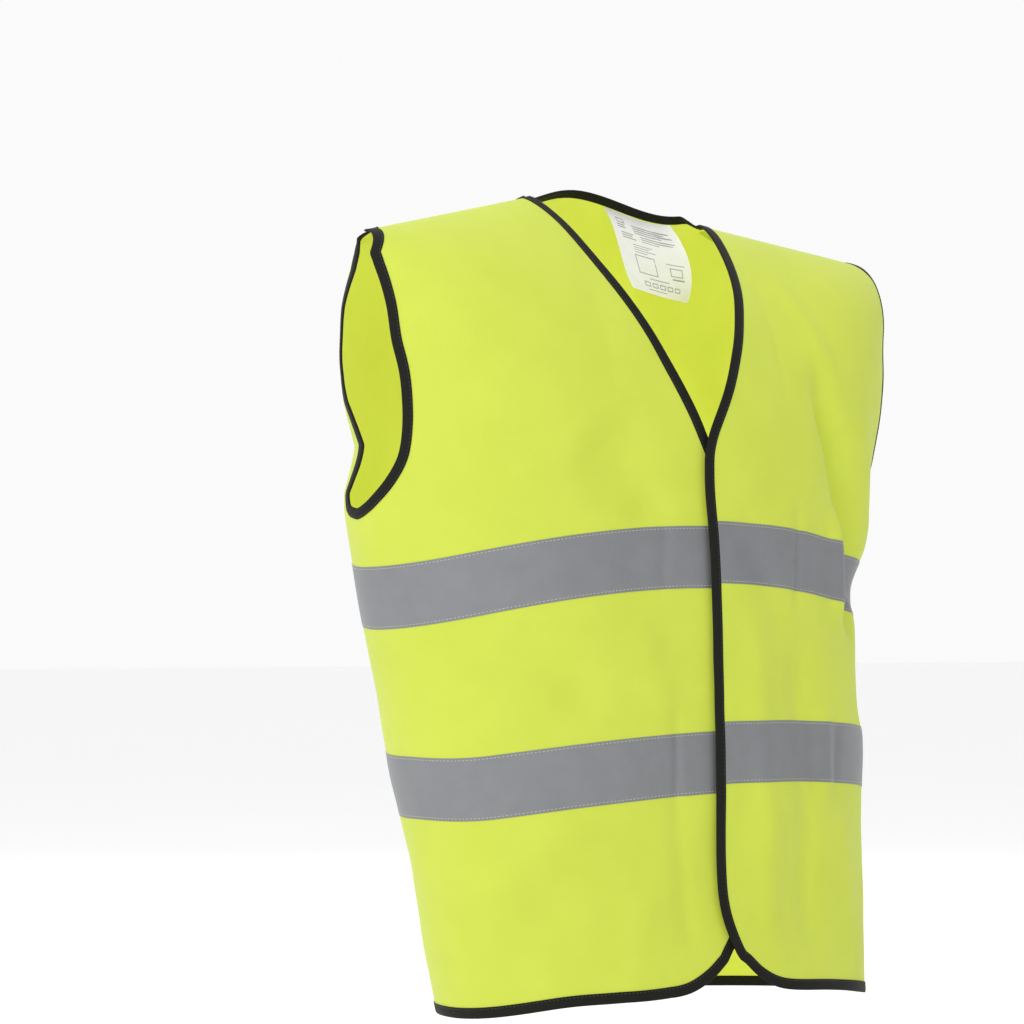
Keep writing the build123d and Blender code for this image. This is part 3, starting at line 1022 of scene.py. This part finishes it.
def tape_grid(level, panel, drops):
    """Angle and fall over a tape, from its front end to the side seam."""
    drops = np.asarray(drops, float)[:, None]
    shares = np.linspace(0, 1, TAPE_COLUMNS if panel != "back" else 2 * TAPE_COLUMNS)[None, :]
    if panel == "back":
        angle = (2 * shares - 1) * pi / 2 + 0 * drops
    else:
        edge = spaced(FRONT_EDGE[panel], 400)
        heights = tape_z(level, panel, np.zeros(1), drops[:, 0])
        x = np.interp(-heights, -edge[:, 1], edge[:, 0]) + SIGN[panel] * UNDER_BINDING
        start = front_place(x, heights)[0][:, None]
        angle = start + (SIGN[panel] * pi / 2 - start) * shares
    return places((angle, fall_at(panel, angle, tape_z(level, panel, angle, drops))))


def tape_piece(level, panel):
    """One length of tape, dented along its two rows of stitches, and those rows."""
    grid = tape_grid(level, panel, DROPS)
    dents = sum(np.exp(-((DROPS - row) / 0.7) ** 2) for row in (STITCH_INSET, TAPE_WIDTH - STITCH_INSET))
    top = TAPE_TOP - 0.16 * dents[:, None] + 0 * grid[..., 0]
    name = f"{panel}_{level}_tape_cloth"
    piece = cloth_slab(name, panel, grid, PANEL_TOP - 0.02, top, TAPE)
    rows = []
    for drop in (STITCH_INSET, TAPE_WIDTH - STITCH_INSET):
        line = tape_grid(level, panel, [drop])[0]
        spot = lifted(panel, line[:, 0], line[:, 1], TAPE_TOP - 0.1)
        rows.append((spot, lifted(panel, line[:, 0], line[:, 1], TAPE_TOP + 0.9) - spot))
    return piece, rows


for panel in ("back", "left", "right"):
    sewn = []
    for level in TAPES:
        tape, rows = tape_piece(level, panel)
        sewn += rows
        nodes = [f"{panel}_side_{level}_tape", f"{panel}_front_{level}_tape"]
        if panel == "back":
            nodes = [f"back_{level}_tape"]
        attach(tape, panel, "reflective_tape", *nodes)
    attach(stitches(f"{panel}_tape_stitches", sewn, TAPE_THREAD), panel)

# ---------- bindings

BINDING_ROW = 6.3  # the binding's stitches lie this far in from the raw edge
BINDING_ROW_HEIGHT = 0.95


def binding_row(points, outward, base, closed=False):
    """Points and outward directions of the stitches on a binding."""
    inward = edge_frames(points, outward, base, closed)
    row = [base.under(point + way * BINDING_ROW, out) for point, way, out in zip(points, inward, outward)]
    spots = np.array([spot + normal * BINDING_ROW_HEIGHT for spot, normal in row])
    return spots, np.array([normal for _, normal in row])


back_top, back_bottom, _, _ = back_edges()
back_neck = back_top[SHOULDER_COLUMNS - 1:SHOULDER_COLUMNS - 1 + NECK_COLUMNS]
neck_line = mixed([back_neck], np.linspace(0, 1, 300))
hem_line = mixed([back_bottom], np.linspace(0, 1, 400))
back_rows = []
for edge, line, step in (("neck", neck_line, 2.5), ("hem", hem_line, 3.0)):
    points, outward = edge_points("back", line, step)
    binding = bind(f"back_{edge}_binding_cloth", points, outward, BASE["left"], BINDING)
    attach(binding, "back", "binding", f"back_{edge}_binding")
    back_rows.append(binding_row(points, outward, BASE["left"]))

for side in SIGN:
    _, bottom, inner, _ = front_edges(side)
    points, outward = edge_points(side, mixed([inner, bottom[1:]], np.linspace(0, 1, 900)))
    binding = bind(f"{side}_front_binding_cloth", points, outward, BASE[side], BINDING)
    attach(binding, side, "binding", *(f"{side}_{edge}_binding" for edge in ("neck", "edge", "hem")))
    row = binding_row(points, outward, BASE[side])
    attach(stitches(f"{side}_front_binding_stitches", [row], BINDING_THREAD), side)

    halves = []
    for panel in (side, "back"):
        arm, _ = side_edge(panel, side)
        halves.append(edge_points(panel, mixed([arm], np.linspace(0, 1, 300)), 2.5))
    (front_points, front_out), (back_points, back_out) = halves
    points = np.vstack([front_points[:-1], back_points[::-1][:-1]])
    outward = np.vstack([front_out[:-1], back_out[::-1][:-1]])
    binding = bind(f"{side}_armhole_binding_cloth", points, outward, BASE[side], BINDING, closed=True)
    attach(binding, "back", "binding", *(f"{side}_armhole_binding_{half}" for half in ("front", "back")))
    back_rows.append(binding_row(points, outward, BASE[side], closed=True))

attach(stitches("back_binding_stitches", back_rows, BINDING_THREAD), "back")

# ---------- seams inside

SEAM_WIDTH = 6.0
SIDE_RADIUS = 115  # the cloth's rough radius where the side seams run
ZIGZAG = 1.3
ZIGZAG_RADIUS = 0.28


def zigzag(name, near, far, outward, material):
    """An overlock thread running to and fro between two lines of points."""
    count = int(distances(near)[-1] / ZIGZAG)
    both = evenly(np.hstack([near, far, outward]), count)
    swing = (np.arange(count) % 2)[:, None]
    spots = both[:, :3] * (1 - swing) + both[:, 3:6] * swing
    out = unit(both[:, 6:])
    forward = unit(np.gradient(both[:, :3], axis=0))
    turns = np.linspace(0, 2 * pi, THREAD_SIDES, endpoint=False)
    rings = [spots + ZIGZAG_RADIUS * (forward * cos(turn) + out * sin(turn)) for turn in turns]
    return ribbon(name, np.stack(rings, 1), material, closed=False)


def seam_band(name, near, far):
    """A flat seam allowance on the inside of the back between two lines of angle and fall."""
    shares = np.linspace(0, 1, 5)[:, None, None]
    grid = near[None] * (1 - shares) + far[None] * shares
    band = cloth_slab(f"{name}_band", "back", grid, -1.5, -0.03, KNIT)
    inner = [lifted("back", line[:, 0], line[:, 1], -1.6) for line in (near, far)]
    outward = inner[0] - lifted("back", near[:, 0], near[:, 1], -0.6)
    thread = zigzag(f"{name}_thread", *inner, outward, SEAM_THREAD)
    attach(band, "back", "fluorescent_knit", name)
    attach(thread, "back", "seam_thread")


for side in SIGN:
    heights = np.linspace(UNDERARM - 12, HEM_SIDE + 10, 130)
    edges = []
    for turn in (0.006, SEAM_WIDTH / SIDE_RADIUS):
        line = np.full(130, SIGN[side] * (pi / 2 - turn))
        edges.append(places((line, fall_at("back", line, heights))))
    seam_band(f"{side}_side_seam", *edges)
    shares = np.array([NECK_SHARE + 0.045, TIP_SHARES[side] - 0.045])
    line = SIGN[side] * np.linspace(*np.arcsin(shares ** (1 / SKEW_POWER)), 60)
    seam_band(f"{side}_shoulder_seam", *(places((line, fall + 0 * line)) for fall in (0.3, SEAM_WIDTH)))

# ---------- hook and loop tabs

TAB_WIDTH, TAB_HEIGHT = 21, 45
TAB_MIDDLES = (-370, -520)
TAB_STITCH_INSET = 1.8


def joined(name, pieces):
    """Several mesh objects made into one."""
    with bpy.context.temp_override(active_object=pieces[0], selected_editable_objects=pieces):
        bpy.ops.object.join()
    pieces[0].name = name
    return pieces[0]


def tabs(side, node, middle, low, high, face, material):
    """Two pads of hook or loop tape with the stitches round them."""
    pads, rows = [], []
    for height in TAB_MIDDLES:
        across, down = np.meshgrid(np.linspace(-1, 1, 12), np.linspace(1, -1, 24))
        grid = places(front_place(middle + TAB_WIDTH / 2 * across, height + TAB_HEIGHT / 2 * down))
        pads.append(cloth_slab("pad", side, grid, low, high, material))
        corners = np.array([(-1, 1), (1, 1), (1, -1), (-1, -1), (-1, 1)], float)
        corners *= (TAB_WIDTH / 2 - TAB_STITCH_INSET, TAB_HEIGHT / 2 - TAB_STITCH_INSET)
        outline = evenly(corners + (middle, height), 90)
        angle, fall = front_place(outline[:, 0], outline[:, 1])
        spots = lifted(side, angle, fall, face)
        rows.append((spots, spots - lifted(side, angle, fall, PANEL_TOP / 2)))
    slot = "hook_tape" if node == "hook_tabs" else "loop_tape"
    attach(joined(f"{side}_{node}", pads), side, slot, node)
    attach(stitches(f"{side}_{node}_stitches", rows, BINDING_THREAD), side)


tabs("left", "hook_tabs", 26, -1.0, -0.02, -1.05, HOOKS)
tabs("right", "loop_tabs", 18, PANEL_TOP - 0.02, PANEL_TOP + 1.0, PANEL_TOP + 1.05, LOOPS)

# ---------- care label

LABEL_ENDS = (25, 77)  # x of the sewn edge's two ends
LABEL_TUCK = 5  # the sewn edge lies this far in from the raw edge, under the binding
LABEL_FOOT = np.array([(30, 18, -60), (76, 3, -72)], float)
LABEL_PULLS = np.array([[(4, -4, 0), (-3, 2, 0)], [(6, -11, 0), (7, -13, 0)]], float)  # each side's curl
LABEL_SIZE = (56, 76)

neck_x = skin("back", neck_line[:, 0], neck_line[:, 1])[:, 0]


def label_point(u, v):
    """Points of the hanging label: u runs across it and v down it, both 0 to 1."""
    x = LABEL_ENDS[0] + (LABEL_ENDS[1] - LABEL_ENDS[0]) * u
    angle, fall = (np.interp(x, neck_x, neck_line[:, k]) for k in (0, 1))
    start = lifted("back", angle, fall + LABEL_TUCK, -0.9)
    u, v = u[..., None], v[..., None]
    foot = LABEL_FOOT[0] * (1 - u) + LABEL_FOOT[1] * u + np.array([0, -2.0, -1.5]) * np.sin(pi * u)
    pulls = LABEL_PULLS[0][:, None, None] * (1 - u) + LABEL_PULLS[1][:, None, None] * u
    first = start + (foot - start) / 3 + pulls[0]
    second = start + (foot - start) * 2 / 3 + pulls[1]
    upper = (1 - v) ** 3 * start + 3 * (1 - v) ** 2 * v * first
    return upper + 3 * (1 - v) * v ** 2 * second + v ** 3 * foot


def label_face(u, v, lift):
    """Points above the label's printed face."""
    across = label_point(u + 0.01, v) - label_point(u - 0.01, v)
    down = label_point(u, v + 0.01) - label_point(u, v - 0.01)
    normal = unit(np.cross(down, across))
    normal *= np.where(normal[..., 1:2] > 0, -1, 1)
    return label_point(u, v) + lift * normal


def label_slab(name, left, right, top, bottom, low, high, material, steps=(3, 3)):
    u, v = np.meshgrid(np.linspace(left, right, steps[0]), np.linspace(top, bottom, steps[1]))
    uv = np.stack([u * LABEL_SIZE[0], -v * LABEL_SIZE[1]], -1)
    return slab(name, label_face(u, v, low), label_face(u, v, high), uv, material)


label = label_slab("care_label_cloth", 0, 1, 0, 1, 0, 0.25, LABEL, steps=(36, 48))
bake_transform(label)
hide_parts("care_label")

# Bars and frames that stand for the print: left, right, top and bottom shares of the label
PRINT_BARS = [
    (0.10, 0.22, 0.17, 0.185), (0.10, 0.22, 0.20, 0.215),
    (0.34, 0.88, 0.14, 0.152), (0.34, 0.80, 0.17, 0.182), (0.34, 0.90, 0.20, 0.212),
    (0.34, 0.74, 0.23, 0.242),
    (0.40, 0.90, 0.27, 0.280), (0.40, 0.86, 0.30, 0.310), (0.40, 0.66, 0.33, 0.340),
    (0.12, 0.30, 0.27, 0.283), (0.12, 0.27, 0.30, 0.313), (0.12, 0.32, 0.33, 0.343),
    (0.66, 0.92, 0.55, 0.560), (0.72, 0.90, 0.735, 0.755),
    (0.24, 0.52, 0.40, 0.409), (0.24, 0.46, 0.43, 0.439), (0.24, 0.55, 0.46, 0.469),
    (0.24, 0.42, 0.49, 0.499),
    (0.36, 0.66, 0.80, 0.812), (0.30, 0.60, 0.94, 0.950),
]
PRINT_FRAMES = [
    (0.12, 0.24, 0.09, 0.15),
    (0.22, 0.50, 0.53, 0.76),
    (0.70, 0.88, 0.60, 0.71),
    *[(left, left + 0.09, 0.85, 0.91) for left in (0.26, 0.38, 0.50, 0.62, 0.74)],
]
FRAME_LINE = 0.012

marks = list(PRINT_BARS)
for left, right, top, bottom in PRINT_FRAMES:
    marks += [
        (left, right, top, top + FRAME_LINE), (left, right, bottom - FRAME_LINE, bottom),
        (left, left + FRAME_LINE, top, bottom), (right - FRAME_LINE, right, top, bottom),
    ]
ink = joined("care_label_print", [label_slab("mark", *mark, 0.24, 0.29, PRINT) for mark in marks])
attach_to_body(ink, "label")
